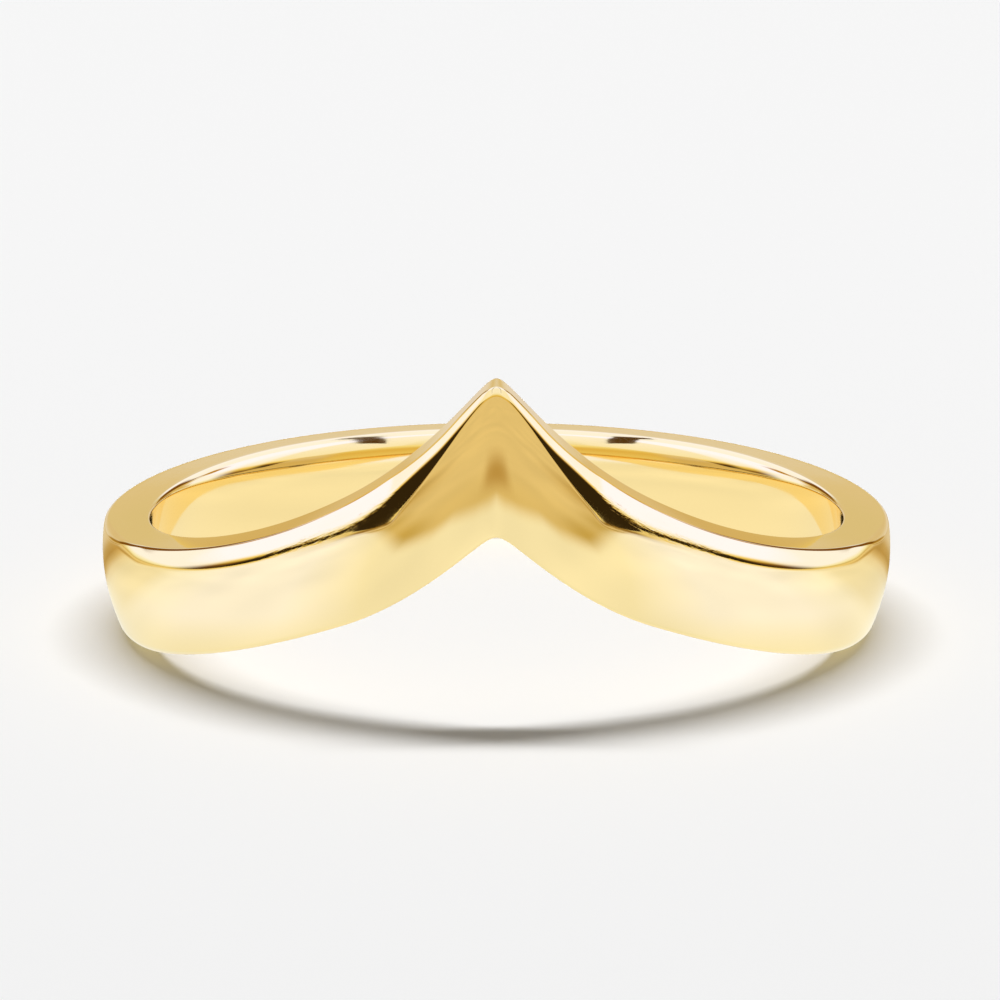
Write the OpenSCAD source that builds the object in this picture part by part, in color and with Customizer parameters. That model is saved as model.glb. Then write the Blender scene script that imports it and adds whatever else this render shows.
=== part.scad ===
// Plain chevron ring, a wishbone band in one piece of polished gold.
// It lies on its side as on a table: the finger hole's axis is +Z, the point of the
// chevron is at the front (-Y) and stands up, and the flat foot of the band is at Z = 0.

/* [Finger hole] */
// Diameter of the finger hole
bore_d = 17.2; // [14:0.1:22]
// How far the hole opens outward by the top of the point
point_flare = 0.1; // [0:0.02:0.3]

/* [Band] */
// Thickness of the metal where it is thickest
wall = 1.2; // [1.1:0.05:2]
// Width of the band at the back of the finger
band_w = 2.7; // [2:0.1:4]
// How far the arch of the outer face has come in by the foot
crown_in = 0.53; // [0.1:0.01:0.55]
// Depth below the upper edge at which the band is thickest
crown_drop = 0.65; // [0.4:0.05:1]

/* [Chevron] */
// Height that the upper edge gains on its long sweep to the front
upper_sweep = 5.7; // [3:0.05:8]
// Height that the upper edge gains besides, close to the point
upper_point = 0.45; // [0:0.05:1.5]
// Height that the lower edge gains on its sweep to the front
lower_sweep = 4.05; // [2:0.05:6]
// Height that the lower edge gains besides, close to the notch
lower_point = 0.95; // [0:0.05:1.5]
// Angle from the point at which the upper edge has come down to the band
upper_reach = 150; // [110:1:170]
// Angle from the point at which the lower edge has come down to the foot
lower_reach = 86; // [70:1:110]
// Angle over which the point and the notch steepen
point_reach = 24; // [12:1:40]
// How full the upper edge's sweep is, 2 for a wide one and more for a slender one
upper_power = 4.4; // [3:0.1:6]
// How full the lower edge's sweep is
lower_power = 1.7; // [1.5:0.1:3]
// Half width over which the tip of the point is rounded
tip_round = 0.2; // [0.05:0.05:0.6]
// Half width over which the notch is rounded
notch_round = 0.28; // [0.05:0.05:0.8]

/* [Flanks of the point] */
// Lean of the ground flanks beside the point, in degrees
flank_lean = 9; // [0:1:14]
// Depth of the flanks where they are deepest, below the upper edge
flank_depth = 1.15; // [0.5:0.05:1.6]
// Angle from the point at which the flanks are deepest
flank_angle = 15.5; // [10:0.5:24]
// Angle from the point at which the flanks have run out
flank_end = 36; // [28:1:60]

/* [Edges] */
// Width of the bevel along the upper outer edge
bevel_w = 0.25; // [0.1:0.01:0.4]
// Height of the same bevel
bevel_h = 0.34; // [0.1:0.01:0.5]
// Width of the rounding of the upper inner edge, at the back
comfort_w = 0.3; // [0.1:0.01:0.35]
// Height of the same rounding
comfort_h = 0.45; // [0.1:0.01:0.6]
// Width of the plain break of the hidden inner edges
break_w = 0.1; // [0.05:0.01:0.15]
// Radius of the foot's outer edge below the chevron
foot_front = 0.12; // [0.05:0.01:0.3]
// Radius of the foot's outer edge at the sides and back
foot_side = 0.3; // [0.1:0.01:0.5]

/* [Hidden] */

bore_r = bore_d / 2;
ring_r = bore_r + wall;

// Sections from the point round to the back on each side, closer together near the point
half_sections = 58;
crowding = 1.5;

// Points round each corner, and up the outer face and the hole's side
corner_steps = 5;
face_steps = 8;

// How far the section reaches into the hole, which is cut out afterwards
hole_overlap = 0.6;
// How far the inner roundings run on past the hole's wall, so that the cut crosses them
past_wall = 0.03;
// How far the hole's cut runs out past the metal
cut_past = 1;
// Height of the inner roundings' full curve, as a share of the part of it that is left
curve_share = 1.7;
// How much of the inner rounding's height the hole's straight wall leaves free below the band's edge
wall_stop = 0.8;
// How far up the bevel the crease between it and a flank lies, as a share of the bevel
crease_rise = 0.25;
// How far the upper edge follows straight back from the outer face, 0 radial and 1 straight
straight_back = 0.7;
// Angles between which one form of the section gives way to another
foot_change = [45, 80];
bevel_change = [60, 95];
comfort_change = [95, 150];
// Squareness of a corner's curve: 2 is a quarter ellipse, 1 is a flat bevel
flat_corner = 1.25;
round_corner = 2;

// 0 below the first limit, 1 above the second, and smooth between
function ease(x, limits) =
    let (t = min(1, max(0, (x - limits[0]) / (limits[1] - limits[0]))))
    t * t * (3 - 2 * t);
function blend(low, high, share) = low + (high - low) * share;

// A climb that starts level at the reach and is 1 at the front
function climb(angle, reach, power) = pow(max(0, 1 - angle / reach), power);
// The angle with its sharp change of side at the front rounded over a half width
function rounded(angle, half_width) =
    let (w = half_width / ring_r * 180 / PI) sqrt(angle * angle + w * w);

function upper_edge(angle) =
    let (a = rounded(angle, tip_round))
    band_w + upper_sweep * climb(a, upper_reach, upper_power)
    + upper_point * climb(a, point_reach, 2);
function lower_edge(angle) =
    let (a = rounded(angle, notch_round))
    lower_sweep * climb(a, lower_reach, lower_power)
    + lower_point * climb(a, point_reach, 2);

// The angle at whose height the upper edge lies at a smaller radius
function edge_angle(angle, radius) = angle * (1 - straight_back * (1 - radius / ring_r));

// One corner as [inset, depth] pairs, from its level side to its upright side
function corner(width, height, power) = [
    for (i = [0 : corner_steps])
        let (t = 90 * i / corner_steps)
        [width * (1 - pow(sin(t), 2 / power)), height * (1 - pow(cos(t), 2 / power))]
];

// Inset of the outer face from the ring's radius, at a depth below the upper edge
function crown_inset(depth) = crown_in * pow((depth - crown_drop) / (band_w - crown_drop), 2);
function flank_inset(angle, depth) =
    let (
        deepest = flank_depth * min(1, angle / flank_angle) - bevel_h * crease_rise,
        fade = 1 - ease(angle, [flank_angle, flank_end])
    )
    tan(flank_lean) * fade * max(0, deepest - depth);

// The section at an angle from the point, as [radius, height] pairs, starting at the
// inner end of the upper face and going round over the outer face to the hole's side
function section(angle) =
    let (
        a = abs(angle),
        stretch = (upper_edge(a) - lower_edge(a)) / band_w,
        foot = blend(foot_front, foot_side, ease(a, foot_change)),
        power = blend(flat_corner, round_corner, ease(a, bevel_change)),
        comfort = ease(a, comfort_change),
        inner_w = blend(break_w, comfort_w, comfort) + past_wall,
        inner_h = blend(break_w, comfort_h, comfort) * curve_share,
        low_w = break_w + past_wall,
        low_h = break_w * curve_share,
        face_top = bevel_h,
        face_low = band_w - foot,
        outer = [
            for (c = corner(bevel_w, bevel_h, power)) c,
            for (i = [1 : face_steps - 1]) [0, blend(face_top, face_low, i / face_steps)],
            for (i = [corner_steps : -1 : 0])
                let (c = corner(foot, foot, round_corner)[i]) [c[0], band_w - c[1]]
        ],
        inner = [for (c = corner(inner_w, inner_h, round_corner)) c],
        low = [for (c = corner(low_w, low_h, round_corner)) c]
    )
    concat(
        [
            for (p = outer)
                let (r = ring_r - p[0] - crown_inset(p[1]) - flank_inset(a, p[1] * stretch))
                [r, blend(upper_edge(edge_angle(a, r)), lower_edge(a), p[1] / band_w)]
        ],
        [
            for (p = low)
                let (r = bore_r - past_wall + p[0])
                [r, lower_edge(a) + p[1]]
        ],
        [[bore_r - hole_overlap, (lower_edge(a) + upper_edge(a)) / 2]],
        [
            for (i = [corner_steps : -1 : 0])
                let (p = inner[i], r = bore_r - past_wall + p[0])
                [r, upper_edge(edge_angle(a, r)) - p[1]]
        ]
    );

// The whole band as a sweep of its sections round the finger, before the hole is cut
module band_body() {
    steps = [for (i = [-half_sections + 1 : half_sections]) i];
    angles = [for (i = steps) sign(i) * 180 * pow(abs(i) / half_sections, crowding)];
    sections = [for (a = angles) section(a)];
    across = len(sections[0]);
    around = len(angles);
    points = [
        for (s = [0 : around - 1])
            for (p = sections[s]) [p[0] * sin(angles[s]), -p[0] * cos(angles[s]), p[1]]
    ];
    // The two triangles of each cell are mirrored from one side of the ring to the other
    faces = [
        for (s = [0 : around - 1])
            for (j = [0 : across - 1])
                let (
                    left = steps[s] < 0 || steps[s] == half_sections,
                    n = (s + 1) % around,
                    k = (j + 1) % across,
                    p = s * across + j,
                    q = s * across + k,
                    u = n * across + j,
                    v = n * across + k
                )
                each (left ? [[p, u, v], [p, v, q]] : [[p, u, q], [u, v, q]])
    ];
    polyhedron(points = points, faces = faces, convexity = 8);
}

// The hole: straight where the finger fills it, then opening outward behind the point
module finger_hole() {
    straight_h = band_w - comfort_h * wall_stop;
    point_h = band_w + upper_sweep + upper_point;
    flare_h = point_h + cut_past - straight_h;
    flare = point_flare * flare_h / (point_h - straight_h);
    translate([0, 0, -cut_past]) cylinder(r = bore_r, h = straight_h + cut_past, $fn = 120);
    translate([0, 0, straight_h])
        cylinder(r1 = bore_r, r2 = bore_r + flare, h = flare_h, $fn = 120);
}

module band() {
    color("gold") difference() {
        band_body();
        finger_hole();
    }
}

band();
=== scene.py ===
"""A plain chevron ring in polished yellow gold, lying on a pale floor under soft studio light."""

import math

import bpy
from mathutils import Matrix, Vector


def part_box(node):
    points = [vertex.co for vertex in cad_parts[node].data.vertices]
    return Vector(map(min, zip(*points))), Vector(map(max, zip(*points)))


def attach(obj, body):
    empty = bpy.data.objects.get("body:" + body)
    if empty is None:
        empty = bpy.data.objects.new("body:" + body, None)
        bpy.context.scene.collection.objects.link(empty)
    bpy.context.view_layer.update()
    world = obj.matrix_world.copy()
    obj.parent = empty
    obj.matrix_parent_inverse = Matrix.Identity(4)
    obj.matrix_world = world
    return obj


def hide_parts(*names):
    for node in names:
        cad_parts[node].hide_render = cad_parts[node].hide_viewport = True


MM = 0.001

# The ring's sizes in millimetres and degrees, as in the CAD source
BORE_R = 8.6
BAND_W = 2.7
UPPER_SWEEP, UPPER_POINT = 5.7, 0.45
LOWER_SWEEP, LOWER_POINT = 4.05, 0.95
UPPER_REACH, LOWER_REACH, POINT_REACH = 150.0, 86.0, 24.0
UPPER_POWER, LOWER_POWER, POINT_POWER = 4.4, 1.7, 2
TIP_ROUND, NOTCH_ROUND = 0.2, 0.28
CROWN_IN, CROWN_DROP = 0.53, 0.65
STRAIGHT_BACK = 0.7
POINT_FLARE, FLARE_FROM = 0.1, 2.34
FOOT_FRONT, FOOT_SIDE = 0.12, 0.3
FOOT_CHANGE = (45.0, 80.0)
BREAK_W = 0.1
COMFORT_CHANGE = (95.0, 150.0)

# Softer than in the CAD source: how gently the hole begins to open, the width and height of
# the comfort rounding, and how far and over what height the wall eases out into it
FLARE_POWER = 1.4
COMFORT_W, COMFORT_H = 0.36, 0.5
EASE_OUT_W, EASE_OUT_H = 0.03, 0.6

# The tables below give a value at angles from the point, in degrees and millimetres.
# Outer corner of the upper face, above the edge's plain curve
CORNER_RISE = (
    (0, 0.0), (1.2, 0.03), (2.3, 0.06), (5.2, 0.035), (8, -0.035), (11, -0.068), (17, -0.045),
    (30, -0.03), (50, -0.01), (70, -0.02), (120, 0.0), (180, 0.0),
)
# Depth of the ground flanks beside the point, how much they lean and how soft their crease is
FLANK_DEPTHS = (
    (0, -0.06), (2.25, 0.12), (5.1, 0.32), (7.9, 0.48), (10.8, 0.7), (13.7, 0.97), (15.2, 1.12),
    (17, 1.05), (19, 0.92), (21, 0.8), (24, 0.7), (29, 0.6), (36, 0.5), (50, 0.4), (180, 0.3),
)
FLANK_LEANS = ((0, 10.0), (22, 10.0), (36, 4.0), (45, 0.0), (180, 0.0))
FLANK_CREASES = ((0, 0.03), (15.5, 0.03), (18, 0.12), (22, 0.25), (30, 0.3), (180, 0.3))
# Height of the bevel along the upper outer edge, its slope and the roundness of its foot
BEVEL_HEIGHTS = (
    (0, 0.15), (2.3, 0.18), (5.1, 0.235), (7.9, 0.26), (10.8, 0.27), (13.7, 0.35), (16.6, 0.47),
    (21, 0.53), (29, 0.45), (37.6, 0.455), (47.6, 0.435), (57, 0.355), (64, 0.26), (68, 0.13),
    (71.5, 0.03), (73, 0.0), (180, 0.0),
)
BEVEL_SLOPES = ((0, 36.0), (60, 33.0), (75, 33.0), (180, 33.0))
BEVEL_FILLETS = ((0, 0.06), (5, 0.1), (15, 0.2), (40, 0.24), (56, 0.24), (66, 0.4), (180, 0.3))
# Radius of the rounding along the outer edge of the upper face
EDGE_RADII = (
    (0, 0.08), (2.5, 0.14), (5, 0.18), (8, 0.22), (50, 0.21), (60, 0.2), (70, 0.18), (76, 0.3),
    (82, 0.28), (92, 0.14), (180, 0.14),
)

# Worn places, where fine brushing shows: the angles over which they begin and end, how far
# they spread above and below the bevel's foot, and the faint wear all over the upper face
WORN_FROM, WORN_TO, WORN_SPREAD = (13.0, 17.0), (27.0, 40.0), 0.22
UPPER_WEAR = 0.1

# How finely the mesh is made: sections on each side of the point and how they crowd towards
# it, then steps along the parts of a section
HALF_SECTIONS, CROWDING = 320, 1.35
CORNER_STEPS, FACE_STEPS, UNDERSIDE_STEPS = 10, 60, 4
BORE_STEPS, COMFORT_STEPS, UPPER_STEPS = 18, 20, 8
# How the outer face's steps crowd towards its top, where the bevel and the flank's crease lie
FACE_CROWDING = 1.5
# Depth over which the outer face's slope at its top is taken
SLOPE_STEP = 1e-4

# A quarter turn in radians
QUARTER = math.pi / 2


def ease(x, limits):
    """0 below the first limit, 1 above the second, and smooth between."""
    t = min(1.0, max(0.0, (x - limits[0]) / (limits[1] - limits[0])))
    return t * t * (3 - 2 * t)


def blend(low, high, share):
    return low + (high - low) * share


def smooth_table(x, table):
    """A smooth curve through the table's points, level at the first and the last one."""
    slopes = [0.0]
    for before, _, after in zip(table, table[1:], table[2:]):
        slopes.append((after[1] - before[1]) / (after[0] - before[0]))
    slopes.append(0.0)
    for i in range(len(table) - 1):
        (x0, y0), (x1, y1) = table[i], table[i + 1]
        if x <= x1:
            w = x1 - x0
            t = max(0.0, (x - x0) / w)
            return (
                y0 * (1 + 2 * t) * (1 - t) ** 2
                + slopes[i] * w * t * (1 - t) ** 2
                + y1 * t * t * (3 - 2 * t)
                + slopes[i + 1] * w * t * t * (t - 1)
            )
    return table[-1][1]


def ramp(x, width):
    """0 below 0 and x above it, with the corner rounded over a width."""
    if x <= -width / 2:
        return 0.0
    return x if x >= width / 2 else (x + width / 2) ** 2 / (2 * width)


def climb(angle, reach, power):
    """1 at the point, and 0 from the reach on."""
    return max(0.0, 1 - angle / reach) ** power


def upper_edge(ring_r, angle):
    a = math.hypot(angle, math.degrees(TIP_ROUND / ring_r))
    return (
        BAND_W
        + UPPER_SWEEP * climb(a, UPPER_REACH, UPPER_POWER)
        + UPPER_POINT * climb(a, POINT_REACH, POINT_POWER)
    )


def lower_edge(ring_r, angle):
    a = math.hypot(angle, math.degrees(NOTCH_ROUND / ring_r))
    return (
        LOWER_SWEEP * climb(a, LOWER_REACH, LOWER_POWER)
        + LOWER_POINT * climb(a, POINT_REACH, POINT_POWER)
    )


def bore_at(z):
    """Radius of the finger hole, which opens outward behind the point."""
    top = BAND_W + UPPER_SWEEP + UPPER_POINT
    share = max(0.0, (z - FLARE_FROM) / (top - FLARE_FROM))
    return BORE_R + POINT_FLARE * share**FLARE_POWER


class Section:
    """The ring's section at an angle from the point, whose points are a radius and a height."""

    def __init__(self, ring_r, angle):
        self.ring_r = ring_r
        self.angle = angle
        self.low = lower_edge(ring_r, angle)
        self.top = upper_edge(ring_r, angle) + smooth_table(angle, CORNER_RISE)
        # At the hole the upper face has run back nearly straight
        self.inner_top = upper_edge(ring_r, angle * (1 - STRAIGHT_BACK * (1 - BORE_R / ring_r)))
        self.foot = blend(FOOT_FRONT, FOOT_SIDE, ease(angle, FOOT_CHANGE))
        self.edge_radius = smooth_table(angle, EDGE_RADII)
        self.bevel_height = smooth_table(angle, BEVEL_HEIGHTS)
        self.bevel_slope = math.tan(math.radians(smooth_table(angle, BEVEL_SLOPES)))
        self.bevel_fillet = smooth_table(angle, BEVEL_FILLETS)
        self.flank_depth = smooth_table(angle, FLANK_DEPTHS)
        self.flank_lean = math.tan(math.radians(smooth_table(angle, FLANK_LEANS)))
        self.flank_crease = smooth_table(angle, FLANK_CREASES)
        self.comfort = ease(angle, COMFORT_CHANGE)
        self.points = self.outer_side()
        self.points += self.inner_side(self.points[-1][0])
        self.points += self.upper_face(self.points[-1], self.points[0])

    def face_radius(self, depth):
        """Radius of the outer face at a depth below its upper corner, bevel and flank included."""
        stretch = (self.top - self.low) / BAND_W
        crown = CROWN_IN * ((depth / stretch - CROWN_DROP) / (BAND_W - CROWN_DROP)) ** 2
        flank = self.flank_lean * ramp(self.flank_depth - depth, self.flank_crease)
        bevel = self.bevel_slope * ramp(self.bevel_height - depth, self.bevel_fillet)
        return self.ring_r - crown - flank - bevel

    def outer_side(self):
        """From the upper edge's rounding down the outer face to the end of the foot's rounding."""
        corner_r, radius = self.face_radius(0), self.edge_radius
        slope = math.atan((self.face_radius(SLOPE_STEP) - corner_r) / SLOPE_STEP)
        tilt = math.atan((self.inner_top - self.top) / (corner_r - BORE_R))
        reach = radius * math.tan((QUARTER - slope - tilt) / 2)
        centre_r = corner_r - reach * math.cos(tilt) - radius * math.sin(tilt)
        centre_z = self.top + reach * math.sin(tilt) - radius * math.cos(tilt)
        points = []
        for i in range(CORNER_STEPS):
            turn = blend(QUARTER - tilt, slope, i / CORNER_STEPS)
            points.append((centre_r + radius * math.cos(turn), centre_z + radius * math.sin(turn)))
        start, last = reach * math.cos(slope), self.top - self.low - self.foot
        for i in range(FACE_STEPS):
            depth = blend(start, last, (i / FACE_STEPS) ** FACE_CROWDING)
            points.append((self.face_radius(depth), self.top - depth))
        for i in range(CORNER_STEPS + 1):
            turn = QUARTER * i / CORNER_STEPS
            depth = last + self.foot * math.sin(turn)
            r = self.face_radius(depth) - self.foot * (1 - math.cos(turn))
            points.append((r, self.top - depth))
        return points

    def wall_at(self, z, wall_top):
        """Radius of the hole's side, which eases out into the comfort rounding."""
        eased = max(0.0, (z - wall_top) / EASE_OUT_H + 1)
        return bore_at(z) + EASE_OUT_W * self.comfort * eased**2

    def inner_side(self, foot_r):
        """The underside from the foot's rounding on, and the hole's side with its roundings."""
        w, h = blend(BREAK_W, COMFORT_W, self.comfort), blend(BREAK_W, COMFORT_H, self.comfort)
        corner_r, wall_top = self.face_radius(0), self.inner_top - h
        points = []
        for i in range(1, UNDERSIDE_STEPS):
            points.append((blend(foot_r, BORE_R + BREAK_W, i / UNDERSIDE_STEPS), self.low))
        for i in range(CORNER_STEPS + 1):
            turn = QUARTER * i / CORNER_STEPS
            z = self.low + BREAK_W * (1 - math.cos(turn))
            points.append((bore_at(z) + BREAK_W * (1 - math.sin(turn)), z))
        for i in range(1, BORE_STEPS):
            z = blend(self.low + BREAK_W, wall_top, i / BORE_STEPS)
            points.append((self.wall_at(z, wall_top), z))
        for i in range(COMFORT_STEPS + 1):
            turn = QUARTER * i / COMFORT_STEPS
            r = self.wall_at(wall_top + h * math.sin(turn), wall_top) + w * (1 - math.cos(turn))
            share = (r - BORE_R) / (corner_r - BORE_R)
            face_z = blend(self.inner_top, self.top, share)
            points.append((r, face_z - h * (1 - math.sin(turn))))
        return points

    def upper_face(self, inner, outer):
        """Points between the two roundings that the upper face joins."""
        shares = [i / UPPER_STEPS for i in range(1, UPPER_STEPS)]
        return [(blend(inner[0], outer[0], s), blend(inner[1], outer[1], s)) for s in shares]

    def lengths(self):
        """How far along the section's outline each point lies, and the whole way round last."""
        lengths = [0.0]
        for here, after in zip(self.points, self.points[1:] + self.points[:1]):
            lengths.append(lengths[-1] + math.dist(here, after))
        return lengths

    def wear(self, row):
        """How brushed the metal is at a point of the section, by its place in the row."""
        # The upper face, whose outer end is the first point
        if row == 0 or row > len(self.points) - UPPER_STEPS:
            return UPPER_WEAR
        # Past the outer face
        if row > CORNER_STEPS + FACE_STEPS:
            return 0.0
        below = self.top - self.points[row][1] - self.bevel_height
        near = 1 - ease(abs(below), (0.0, WORN_SPREAD))
        return near * ease(self.angle, WORN_FROM) * (1 - ease(self.angle, WORN_TO))


def section_angles():
    """Angles round the ring from the point, negative to the left, closer together near it."""
    half = [180.0 * (i / HALF_SECTIONS) ** CROWDING for i in range(HALF_SECTIONS + 1)]
    return [-a for a in reversed(half[1:-1])] + half


def on_ring(angle, r, z):
    """A place in millimetres at an angle from the point, to the right where it is positive."""
    turn = math.radians(angle)
    return r * math.sin(turn), -r * math.cos(turn), z


def make_band(ring_r):
    """The ring's mesh, with the places on its surface for the grain and how worn they are."""
    angles = section_angles()
    sections = [Section(ring_r, abs(angle)) for angle in angles]
    around, across = len(angles), len(sections[0].points)
    verts = [
        tuple(c * MM for c in on_ring(angle, *point))
        for angle, section in zip(angles, sections)
        for point in section.points
    ]
    corners = [
        ((s, j), (s, j + 1), (s + 1, j + 1), (s + 1, j))
        for s in range(around)
        for j in range(across)
    ]
    faces = [[s % around * across + j % across for s, j in face] for face in corners]
    mesh = bpy.data.meshes.new("polished_band")
    mesh.from_pydata(verts, [], faces)

    arcs = [math.radians(angle) * BORE_R for angle in angles + [angles[0] + 360]]
    lengths = [section.lengths() for section in sections]
    grain = [c for face in corners for s, j in face for c in (arcs[s], lengths[s % around][j])]
    mesh.uv_layers.new(name="grain").data.foreach_set("uv", grain)
    worn = [section.wear(row) for section in sections for row in range(across)]
    mesh.attributes.new("wear", "FLOAT", "POINT").data.foreach_set("value", worn)
    mesh.shade_smooth()
    mesh.update()
    return mesh


def link(name, data):
    obj = bpy.data.objects.new(name, data)
    bpy.context.scene.collection.objects.link(obj)
    return obj


class Tree:
    """A node tree, with short calls for the nodes that the gold and the studio share."""

    def __init__(self, owner):
        owner.use_nodes = True
        self.nodes, self.links = owner.node_tree.nodes, owner.node_tree.links
        self.nodes.clear()

    def feed(self, socket, value):
        """Links an input to another node's output, or sets it to a constant."""
        if isinstance(value, bpy.types.NodeSocket):
            self.links.new(value, socket)
        else:
            socket.default_value = value

    def node(self, kind, inputs=None):
        """A new node, with what its inputs are fed."""
        node = self.nodes.new(kind)
        for name, value in (inputs or {}).items():
            self.feed(node.inputs[name], value)
        return node

    def calc(self, operation, *values):
        """What an arithmetic operation makes of constants and of other nodes' outputs."""
        node = self.node("ShaderNodeMath")
        node.operation = operation
        for socket, value in zip(node.inputs, values):
            self.feed(socket, value)
        return node.outputs["Value"]

    def remap(self, value, source, target=(0, 1), kind="LINEAR"):
        """The value, with the range between two limits spread over another range."""
        node = self.node("ShaderNodeMapRange", {
            "Value": value,
            "From Min": source[0],
            "From Max": source[1],
            "To Min": target[0],
            "To Max": target[1],
        })
        node.interpolation_type = kind
        return node.outputs["Result"]

    def rise(self, value, limits):
        """0 below the first limit, 1 above the second, and smooth between."""
        return self.remap(value, limits, kind="SMOOTHSTEP")

    def fall(self, value, limits):
        """1 below the first limit, 0 above the second, and smooth between."""
        return self.remap(value, limits, (1, 0), "SMOOTHSTEP")

    def tones(self, value, stops, low, high):
        """A run of colours over a value, with each stop given at a place between low and high."""
        node = self.node("ShaderNodeValToRGB", {"Fac": self.remap(value, (low, high))})
        elements = node.color_ramp.elements
        while len(elements) < len(stops):
            elements.new(1.0)
        for element, (place, colour) in zip(elements, stops):
            element.position = (place - low) / (high - low)
            element.color = (*colour, 1)
        return node.outputs["Color"]

    def mix(self, factor, first, second):
        """From the first colour to the second one, each a constant or another node's output."""
        node = self.node("ShaderNodeMix")
        node.data_type = "RGBA"
        for name, value in (("Factor", factor), ("A", first), ("B", second)):
            socket = [s for s in node.inputs if s.name == name and s.enabled][0]
            self.feed(socket, (*value, 1) if isinstance(value, tuple) else value)
        return [s for s in node.outputs if s.enabled][0]

    def coordinates(self, kind):
        return self.node("ShaderNodeTexCoord").outputs[kind]

    def uv_map(self, name):
        node = self.node("ShaderNodeUVMap")
        node.uv_map = name
        return node.outputs["UV"]

    def stretched(self, vector, scale):
        node = self.node("ShaderNodeMapping", {"Vector": vector, "Scale": scale})
        return node.outputs["Vector"]

    def place_mm(self):
        """The place on the object in millimetres."""
        return self.stretched(self.coordinates("Object"), (1 / MM,) * 3)

    def separate(self, vector):
        outputs = self.node("ShaderNodeSeparateXYZ", {"Vector": vector}).outputs
        return outputs["X"], outputs["Y"], outputs["Z"]

    def azimuth(self, x, y):
        """The angle away from the camera's side in degrees, the same to the left and the right."""
        angle = self.calc("ARCTAN2", x, self.calc("MULTIPLY", y, -1))
        return self.calc("DEGREES", self.calc("ABSOLUTE", angle))

    def noise(self, vector, scale=1.0, detail=1.0):
        """Noise over a vector, with its scale in waves per unit of that vector."""
        inputs = {"Vector": vector, "Scale": scale, "Detail": detail}
        return self.node("ShaderNodeTexNoise", inputs).outputs["Fac"]

    def bump(self, height, depth_mm, normal=None):
        """The normal of a relief, which lies on top of another one where that is given."""
        inputs = {"Strength": 1.0, "Distance": depth_mm * MM, "Height": height}
        if normal:
            inputs["Normal"] = normal
        return self.node("ShaderNodeBump", inputs).outputs["Normal"]

    def glow(self, colour, strength=1.0):
        inputs = {"Color": colour, "Strength": strength}
        return self.node("ShaderNodeEmission", inputs).outputs["Emission"]

    def mix_shaders(self, share, first, second):
        node = self.node("ShaderNodeMixShader", {"Fac": share, 1: first, 2: second})
        return node.outputs["Shader"]

    def by_ray(self, plain, mirrored):
        """Shows the mirrored shader to glossy rays and the plain one to all the rest."""
        glossy = self.node("ShaderNodeLightPath").outputs["Is Glossy Ray"]
        return self.mix_shaders(glossy, plain, mirrored)


def new_material(name):
    material = bpy.data.materials.new(name)
    return material, Tree(material)


# The middle part of a noise, which is spread over the whole range of what the noise changes
NOISE_MIDDLE = (0.3, 0.7)

# Gold, its roughness, and the shares of that roughness between which haze changes it
GOLD = (1.0, 0.835, 0.46, 1.0)
ROUGHNESS = 0.055
HAZE = (0.6, 1.7)
# Waves of hand polishing per metre
WAVES = 500
# Noises along the grain: waves per millimetre round the ring and along its section, and detail
HAIRLINES = ((0.35, 14, 1), 4)
BRUSHING = ((5, 18, 1), 3)
HAZE_PATCHES = ((0.5, 2, 1), 5)
# Depths in millimetres
WAVE_DEPTH, HAIRLINE_DEPTH, BRUSHING_DEPTH = 0.0045, 0.0002, 0.012


def gold_material():
    """Polished gold with the faint waves of hand polishing, hairline scratches and haze."""
    material, tree = new_material("polished_gold")
    grain = tree.uv_map("grain")
    worn = tree.node("ShaderNodeAttribute")
    worn.attribute_name = "wear"

    def grained(waves, detail):
        return tree.noise(tree.stretched(grain, waves), detail=detail)

    brushed = tree.calc("MULTIPLY", grained(*BRUSHING), worn.outputs["Fac"])
    normal = tree.bump(tree.noise(tree.coordinates("Object"), WAVES), WAVE_DEPTH)
    normal = tree.bump(grained(*HAIRLINES), HAIRLINE_DEPTH, normal)
    normal = tree.bump(brushed, BRUSHING_DEPTH, normal)
    hazy = [share * ROUGHNESS for share in HAZE]
    shader = tree.node("ShaderNodeBsdfPrincipled", {
        "Base Color": GOLD,
        "Metallic": 1.0,
        "Roughness": tree.remap(grained(*HAZE_PATCHES), NOISE_MIDDLE, hazy),
        "Normal": normal,
    })
    tree.node("ShaderNodeOutputMaterial", {"Surface": shader.outputs["BSDF"]})
    return material


# Light that the gold mirrors, as linear colours
BLACK = (0.03, 0.018, 0.006)
SHADE = (0.09, 0.045, 0.012)
UMBER = (0.2, 0.08, 0.005)
BROWN = (0.26, 0.13, 0.02)
RUST = (0.5, 0.25, 0.01)
AMBER = (0.62, 0.44, 0.11)
HONEY = (0.92, 0.72, 0.24)
STRAW = (0.95, 0.93, 0.7)
PALE = (1.0, 1.0, 1.1)
CREAM = (1.02, 1.07, 1.42)
WHITE = (1.05, 1.14, 1.88)

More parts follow.
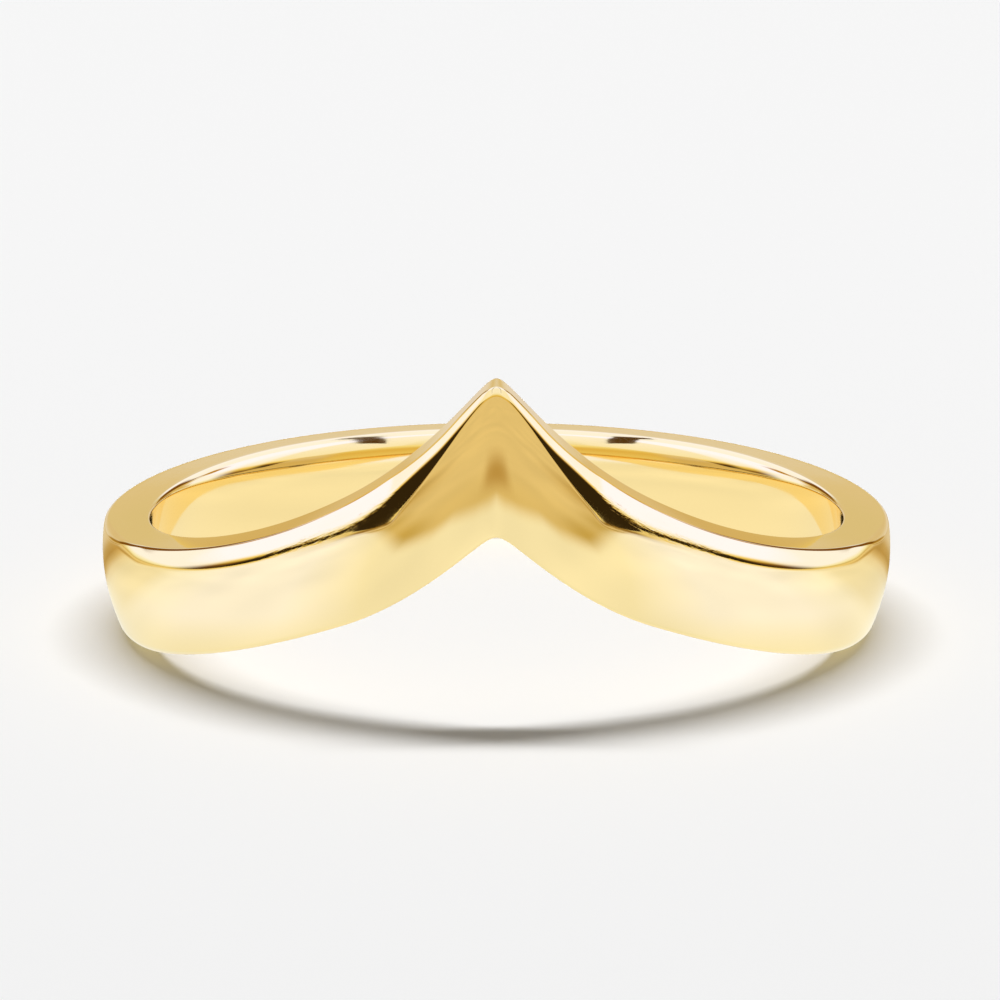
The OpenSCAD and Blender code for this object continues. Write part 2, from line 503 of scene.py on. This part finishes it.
# The studio round the ring. Azimuth is the angle away from the camera's side, the same to the
# left and to the right. Tones are given at elevations above the horizon in degrees: first
# those on the camera's side, and then the sectors that take over one after the other, each
# with the azimuths between which it does.
SKY_AHEAD = (
    (-4, (0.8, 0.64, 0.34)), (1, (0.72, 0.5, 0.15)), (5, (0.73, 0.48, 0.1)),
    (12, (0.78, 0.53, 0.13)), (20, (0.89, 0.76, 0.32)), (29, (0.87, 0.76, 0.46)),
    (50, (0.95, 0.93, 0.85)), (90, CREAM),
)
SKY_SECTORS = (
    ((31, 37), (
        (-4, BROWN), (0, BLACK), (18, BLACK), (22, BROWN), (26, HONEY), (31, (0.97, 0.93, 0.8)),
        (62, PALE), (90, CREAM),
    )),
    ((88, 98), (
        (-3, SHADE), (8, SHADE), (13, BROWN), (17, AMBER), (22, HONEY), (27, PALE), (36, CREAM),
        (60, WHITE),
    )),
    ((101, 116), (
        (-4, HONEY), (0, AMBER), (4, STRAW), (10, CREAM), (21, CREAM), (26, WHITE),
    )),
    ((123, 127), (
        (-4, HONEY), (0, AMBER), (4, STRAW), (10, CREAM), (26, CREAM), (29, RUST), (34, RUST),
        (38, WHITE),
    )),
    ((134, 138), (
        (-4, (0.8, 0.64, 0.34)), (2, (0.86, 0.74, 0.42)), (6, (1.0, 0.97, 0.7)),
        (9.5, (0.9, 0.75, 0.4)), (12.5, BROWN), (27, BROWN), (31, CREAM),
    )),
    ((138, 141), (
        (-5, (0.5, 0.31, 0.08)), (2, (0.5, 0.3, 0.06)), (6, (0.36, 0.2, 0.03)), (9, UMBER),
        (25, UMBER), (29, CREAM),
    )),
    ((155.5, 157.5), (
        (-6, (0.79, 0.7, 0.58)), (-1, (0.81, 0.74, 0.64)), (3, (0.77, 0.67, 0.52)),
        (7, (0.74, 0.63, 0.42)), (10, (0.69, 0.54, 0.29)), (12.5, (0.6, 0.42, 0.15)),
        (15, UMBER), (23, UMBER), (27, CREAM),
    )),
    ((158, 162), (
        (-6, (0.79, 0.7, 0.58)), (-1, (0.81, 0.74, 0.64)), (3, (0.77, 0.67, 0.52)),
        (7, (0.73, 0.6, 0.37)), (10.5, (0.69, 0.54, 0.29)), (12, (0.72, 0.6, 0.38)),
        (15, (0.75, 0.7, 0.52)), (20, CREAM), (90, CREAM),
    )),
    ((171, 175), (
        (-3, (0.79, 0.72, 0.6)), (4, (0.71, 0.57, 0.28)), (8.6, (0.71, 0.58, 0.305)),
        (12.5, (0.735, 0.6, 0.35)), (14, (0.75, 0.65, 0.48)), (16, (0.77, 0.7, 0.62)),
        (20, CREAM), (90, CREAM),
    )),
)
SKY_LOW, SKY_HIGH = -10.0, 90.0
# What lights the floor evenly from all round
WORLD_LIGHT, WORLD_TONE = (1, 1, 1, 1), 0.2


def make_world():
    """Even light for the floor, and the studio's sky for what the gold mirrors."""
    world = bpy.data.worlds.new("studio")
    bpy.context.scene.world = world
    tree = Tree(world)
    x, y, z = tree.separate(tree.coordinates("Generated"))
    azimuth = tree.azimuth(x, y)
    elevation = tree.calc("DEGREES", tree.calc("ARCSINE", z))
    sky = tree.tones(elevation, SKY_AHEAD, SKY_LOW, SKY_HIGH)
    for limits, stops in SKY_SECTORS:
        sector = tree.tones(elevation, stops, SKY_LOW, SKY_HIGH)
        sky = tree.mix(tree.rise(azimuth, limits), sky, sector)
    mirrored = tree.node("ShaderNodeBackground", {"Color": sky})
    even = tree.node("ShaderNodeBackground", {"Color": WORLD_LIGHT, "Strength": WORLD_TONE})
    light = tree.by_ray(even.outputs["Background"], mirrored.outputs["Background"])
    tree.node("ShaderNodeOutputWorld", {"Surface": light})


# The floor: half its width in metres, and its tone
FLOOR_HALF = 1.5
FLOOR_TONE = (0.93, 0.93, 0.93, 1)
# The floor as the gold mirrors it, by the azimuth of the place, near the ring and far from it
BEHIND = 180
FLOOR_ROUND = (
    (0, (0.955, 0.93, 0.84)), (22, (0.955, 0.93, 0.84)), (40, (1.0, 1.03, 1.28)),
    (65, (1.0, 1.03, 1.28)), (82, (0.99, 1.0, 1.06)), (90, (0.92, 0.88, 0.76)),
    (104, (0.89, 0.83, 0.65)), (109, (0.85, 0.74, 0.5)), (112.5, (0.68, 0.5, 0.22)),
    (116, (0.51, 0.32, 0.09)), (120, (0.55, 0.37, 0.13)), (125, (0.69, 0.55, 0.33)),
    (135, (0.75, 0.62, 0.4)),
)
FLOOR_FAR = (
    (0, (0.77, 0.62, 0.345)), (24, (0.74, 0.58, 0.3)), (31, (0.42, 0.26, 0.07)),
    (39, (0.3, 0.17, 0.03)), (45, (0.85, 0.7, 0.35)), (60, (0.94, 0.72, 0.22)),
    (110, (0.86, 0.68, 0.3)), (130, (0.8, 0.64, 0.33)), (139, (0.58, 0.4, 0.13)),
    (150, (0.6, 0.44, 0.17)), (158, (0.79, 0.7, 0.6)),
)
# Its tones inside the hole and at the ring's foot, each with the distances from the axis over
# which it gives way, and the distances over which the far tones take over from the near ones
FLOOR_IN_HOLE, FLOOR_HOLE_TO = (0.95, 0.9, 0.76), (BORE_R, BORE_R + 0.5)
FLOOR_AT_FOOT, FLOOR_FOOT_TO = (0.95, 0.93, 0.83), (9.2, 12.0)
FLOOR_FAR_FROM = (22.0, 60.0)
# Soft clouds in what the faces mirror of the floor, their size in waves per millimetre
CLOUDS, CLOUD_SIZE = (0.94, 1.07), 0.18
# Painted amber shade in front, seen only in the floor as the gold mirrors it: its tones by
# distance in front of the axis and how far they are spread, how far in front it begins, its
# notch at the middle, its slant at the sides, and the azimuths where it ends
PAINTED_SHADE = ((14, (0.7, 0.54, 0.25)), (19, (0.72, 0.57, 0.29)), (23, (0.77, 0.62, 0.345)))
PAINTED_SHADE_TONES_TO = 50
PAINTED_SHADE_FROM, PAINTED_SHADE_NOTCH, PAINTED_SHADE_NOTCH_HALF = (15.2, 17.8), 0.5, 1.5
PAINTED_SHADE_SLANT, PAINTED_SHADE_SLANT_FROM = 0.9, 4.2
PAINTED_SHADE_ENDS = (29.0, 38.0)
# Darker painted shade spots on it: place to the side and in front, radius, and tone
PAINTED_SHADE_SPOTS = (
    ((14.0, -29.0), 11.0, (0.5, 0.33, 0.09)), ((4.6, -16.8), 3.5, (0.6, 0.43, 0.13)),
    ((8.4, -20.0), 4.0, (0.6, 0.44, 0.15)),
)


def painted_shade_cover(tree, azimuth, side, ahead):
    """Where the painted shade lies, as 1 on it and 0 off it."""
    notch = tree.calc("MINIMUM", side, PAINTED_SHADE_NOTCH_HALF)
    edge = tree.calc("MULTIPLY_ADD", notch, PAINTED_SHADE_NOTCH, ahead)
    slant = tree.calc("MAXIMUM", tree.calc("SUBTRACT", side, PAINTED_SHADE_SLANT_FROM), 0.0)
    edge = tree.calc("MULTIPLY_ADD", slant, -PAINTED_SHADE_SLANT, edge)
    return tree.calc("MULTIPLY", tree.rise(edge, PAINTED_SHADE_FROM), tree.fall(azimuth, PAINTED_SHADE_ENDS))


def painted_shade_tones(tree, side, ahead, y):
    """The painted shade's tones, with its darker spots."""
    tones = tree.tones(ahead, PAINTED_SHADE, 0, PAINTED_SHADE_TONES_TO)
    for (spot_x, spot_y), radius, tone in PAINTED_SHADE_SPOTS:
        across = tree.calc("SUBTRACT", side, spot_x)
        along = tree.calc("SUBTRACT", y, spot_y)
        square = tree.calc("MULTIPLY_ADD", across, across, tree.calc("MULTIPLY", along, along))
        spot = tree.fall(tree.calc("SQRT", square), (0, radius))
        tones = tree.mix(spot, tones, tone)
    return tones


def floor_material():
    """A plain pale floor, which the gold mirrors as a glowing one with painted shade in front."""
    material, tree = new_material("pale_floor")
    place = tree.place_mm()
    x, y, _ = tree.separate(place)
    azimuth = tree.azimuth(x, y)
    length = tree.node("ShaderNodeVectorMath", {0: place})
    length.operation = "LENGTH"
    distance = length.outputs["Value"]
    near = tree.tones(azimuth, FLOOR_ROUND, 0, BEHIND)
    far = tree.tones(azimuth, FLOOR_FAR, 0, BEHIND)
    colour = tree.mix(tree.rise(distance, FLOOR_FOOT_TO), FLOOR_AT_FOOT, near)
    colour = tree.mix(tree.rise(distance, FLOOR_FAR_FROM), colour, far)
    colour = tree.mix(tree.rise(distance, FLOOR_HOLE_TO), FLOOR_IN_HOLE, colour)
    side, ahead = tree.calc("ABSOLUTE", x), tree.calc("MULTIPLY", y, -1)
    # Painted shade in front, in the glow that the gold mirrors
    shade_cover = painted_shade_cover(tree, azimuth, side, ahead)
    colour = tree.mix(shade_cover, colour, painted_shade_tones(tree, side, ahead, y))
    clouds = tree.remap(tree.noise(place, CLOUD_SIZE), NOISE_MIDDLE, CLOUDS)
    plain = tree.node("ShaderNodeBsdfDiffuse", {"Color": FLOOR_TONE}).outputs["BSDF"]
    surface = tree.by_ray(plain, tree.glow(colour, clouds))
    tree.node("ShaderNodeOutputMaterial", {"Surface": surface})
    return material


def make_floor():
    mesh = bpy.data.meshes.new("floor")
    s = FLOOR_HALF
    mesh.from_pydata([(-s, -s, 0), (s, -s, 0), (s, s, 0), (-s, s, 0)], [], [(0, 1, 2, 3)])
    mesh.materials.append(floor_material())
    floor = link("floor", mesh)


def unseen_card(name, verts, faces, material):
    """A studio card that nothing but the gold's reflections shows."""
    mesh = bpy.data.meshes.new(name)
    mesh.from_pydata([tuple(c * MM for c in v) for v in verts], [], faces)
    mesh.materials.append(material)
    card = link(name, mesh)
    card.visible_camera = False
    card.visible_diffuse = False
    card.visible_shadow = False
    return card


def strip_faces(count, side=1):
    """Faces along a strip whose points come in pairs, turned over where the side is -1."""
    return [(2 * i, 2 * i + 1, 2 * i + 3, 2 * i + 2)[::side] for i in range(count)]


def glowing_card(name, tones_and_cover):
    """A material that glows where it covers and lets the rest through."""
    material, tree = new_material(name)
    tones, cover = tones_and_cover(tree, *tree.separate(tree.place_mm()))
    clear = tree.node("ShaderNodeBsdfTransparent").outputs["BSDF"]
    surface = tree.mix_shaders(cover, clear, tree.glow(tones))
    tree.node("ShaderNodeOutputMaterial", {"Surface": surface})
    return material


# The two sides for the cards that come in pairs
SIDES = (("left", -1), ("right", 1))

# Glowing warm cards beside the hole, which paint a warm reflection that the wall opposite
# mirrors above its top. They are seen from the axis alone. Their radius and lower edge, their
# upper edge by azimuth, and their tones by height: in front, at the sides, and the azimuths
# between which they change.
WARM_GLOW_R, WARM_GLOW_Z = 8.3, 2.9
WARM_GLOW_STEPS = 96
WARM_GLOW_TOP = (
    (16, 13.0), (45, 16.0), (75, 13.5), (90, 12.0), (105, 10.8), (118, 10.0), (125, 8.0),
    (132, 6.3), (142, 5.6), (150, 4.9), (165, 4.4),
)
WARM_GLOW_FRONT = (
    (3, (0.82, 0.62, 0.2)), (6, (0.79, 0.57, 0.16)), (8.5, (0.75, 0.5, 0.12)),
    (10.5, (0.79, 0.58, 0.17)), (12.5, (0.9, 0.77, 0.36)), (14.5, (0.95, 0.85, 0.5)),
)
WARM_GLOW_SIDE = (
    (3, (0.7, 0.52, 0.21)), (5, (0.67, 0.48, 0.18)), (6.5, (0.66, 0.48, 0.2)),
    (8, (0.71, 0.56, 0.32)), (9.5, (0.76, 0.6, 0.32)), (11, (0.88, 0.76, 0.45)),
)
WARM_GLOW_TURN = (82.0, 100.0)
# The height up to which the tones are spread
WARM_GLOW_TONES_TO = 20
# They fade in over depths below their upper edge and over heights at their lower one
WARM_GLOW_SOFT = (0.1, 1.2)
WARM_GLOW_LOW = (WARM_GLOW_Z, WARM_GLOW_Z + 0.5)


def warm_glow_tones(tree, x, y, z):
    turned = tree.rise(tree.azimuth(x, y), WARM_GLOW_TURN)
    front = tree.tones(z, WARM_GLOW_FRONT, 0, WARM_GLOW_TONES_TO)
    beside = tree.tones(z, WARM_GLOW_SIDE, 0, WARM_GLOW_TONES_TO)
    below_top = tree.separate(tree.uv_map("below_top"))[1]
    cover = tree.rise(below_top, WARM_GLOW_SOFT)
    cover = tree.calc("MULTIPLY", cover, tree.rise(z, WARM_GLOW_LOW))
    back = tree.node("ShaderNodeNewGeometry").outputs["Backfacing"]
    seen = tree.calc("SUBTRACT", 1.0, back)
    return tree.mix(turned, front, beside), tree.calc("MULTIPLY", cover, seen)


def make_warm_glow_cards():
    material = glowing_card("painted_warm_reflection", warm_glow_tones)
    for name, side in SIDES:
        verts, depths = [], []
        for i in range(WARM_GLOW_STEPS + 1):
            azimuth = blend(WARM_GLOW_TOP[0][0], WARM_GLOW_TOP[-1][0], i / WARM_GLOW_STEPS)
            top = smooth_table(azimuth, WARM_GLOW_TOP)
            verts += [on_ring(side * azimuth, WARM_GLOW_R, z) for z in (WARM_GLOW_Z, top)]
            depths += [top - WARM_GLOW_Z, 0.0]
        faces = strip_faces(WARM_GLOW_STEPS, side)
        card = unseen_card("warm_glow_card_" + name, verts, faces, material)
        below_top = [c for face in faces for v in face for c in (0.0, depths[v])]
        card.data.uv_layers.new(name="below_top").data.foreach_set("uv", below_top)


# A soft glowing dark card in front of the point, which paints shade into the gold's
# reflection: its tone, how much it hides, its place, and the distances from its middle to the
# side and up over which it fades out
SHADE_CARD_TONE, SHADE_CARD_COVER = (0.5, 0.32, 0.1, 1), 0.95
SHADE_CARD_Y, SHADE_CARD_Z = -10.6, 6.0
SHADE_CARD_WIDE, SHADE_CARD_HIGH = (0.0, 0.27), (0.05, 1.0)


def shade_card_tones(tree, x, _, z):
    wide = tree.fall(tree.calc("ABSOLUTE", x), SHADE_CARD_WIDE)
    up = tree.calc("ABSOLUTE", tree.calc("SUBTRACT", z, SHADE_CARD_Z))
    cover = tree.calc("MULTIPLY", wide, tree.fall(up, SHADE_CARD_HIGH))
    return SHADE_CARD_TONE, tree.calc("MULTIPLY", cover, SHADE_CARD_COVER)


def make_shade_card():
    w, h = SHADE_CARD_WIDE[1], SHADE_CARD_HIGH[1]
    verts = [(x, SHADE_CARD_Y, SHADE_CARD_Z + z) for x, z in ((-w, -h), (w, -h), (w, h), (-w, h))]
    unseen_card("shade_card", verts, [(0, 1, 2, 3)], glowing_card("painted_shade_glow", shade_card_tones))


# Two curved dark bars high above the ring, which paint dark streaks into the gold's
# reflections alone; they are given by the places to the side and back of their edges
BAR_Z = 300.0
BAR_INNER = ((60, 140), (95, 15), (123, -55), (172, -150))
BAR_OUTER = ((35, 370), (75, 150), (110, 50), (160, -45))


def make_bars():
    material, tree = new_material("dark_bar")
    tree.node("ShaderNodeOutputMaterial", {"Surface": tree.glow((*SHADE, 1))})
    for name, side in SIDES:
        verts = [(side * x, y, BAR_Z) for pair in zip(BAR_INNER, BAR_OUTER) for x, y in pair]
        unseen_card("bar_" + name, verts, strip_faces(len(BAR_INNER) - 1), material)


# The long soft box above the ring: its width and depth, place to the back and up, and power
KEY_WIDTH, KEY_DEPTH = 640.0, 60.0
KEY_BACK, KEY_HEIGHT, KEY_POWER = 90.0, 600.0, 3.36


def make_key_light():
    light = bpy.data.lights.new("key", "AREA")
    light.shape = "RECTANGLE"
    light.size, light.size_y = KEY_WIDTH * MM, KEY_DEPTH * MM
    light.energy = KEY_POWER
    lamp = link("key", light)
    lamp.location = (0.0, KEY_BACK * MM, KEY_HEIGHT * MM)
    lamp.rotation_euler = (-math.atan2(KEY_BACK, KEY_HEIGHT), 0, 0)
    lamp.visible_camera = False
    lamp.visible_glossy = False


# The camera, fitted to the photo: its elevation, distance and target, the scale in the
# picture, and the shift of the picture's middle as a share of its width
CAMERA_ELEVATION, CAMERA_DISTANCE, TARGET_Z = 15.1, 300.0, 2.7
PIXELS_PER_MM, PICTURE_PIXELS = 40.204, 1000.0
SHIFT_X, SHIFT_Y = 0.0035, 0.0207
SENSOR_WIDTH = 36.0
CLIP_START, CLIP_END = 0.01, 10.0


def make_camera():
    data = bpy.data.cameras.new("camera")
    data.sensor_width = SENSOR_WIDTH
    data.lens = PIXELS_PER_MM * CAMERA_DISTANCE / PICTURE_PIXELS * SENSOR_WIDTH
    data.shift_x, data.shift_y = SHIFT_X, SHIFT_Y
    data.clip_start, data.clip_end = CLIP_START, CLIP_END
    camera = link("camera", data)
    e = math.radians(CAMERA_ELEVATION)
    camera.location = (
        0.0,
        -CAMERA_DISTANCE * math.cos(e) * MM,
        (TARGET_Z + CAMERA_DISTANCE * math.sin(e)) * MM,
    )
    camera.rotation_euler = (QUARTER - e, 0, 0)
    bpy.context.scene.camera = camera


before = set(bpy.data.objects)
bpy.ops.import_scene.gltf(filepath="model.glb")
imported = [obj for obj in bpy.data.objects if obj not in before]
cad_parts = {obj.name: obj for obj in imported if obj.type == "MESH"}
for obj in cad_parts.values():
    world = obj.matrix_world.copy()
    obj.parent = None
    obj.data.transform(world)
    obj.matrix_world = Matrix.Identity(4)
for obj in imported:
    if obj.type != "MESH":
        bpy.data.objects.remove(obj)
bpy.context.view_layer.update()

_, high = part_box("band")
band = link("polished_band", make_band(high.x / MM))
band.data.materials.append(gold_material())
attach(band, "root")
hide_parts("band")

make_floor()
make_world()
make_warm_glow_cards()
make_shade_card()
make_bars()
make_key_light()
make_camera()
bpy.context.scene.view_settings.view_transform = "Standard"
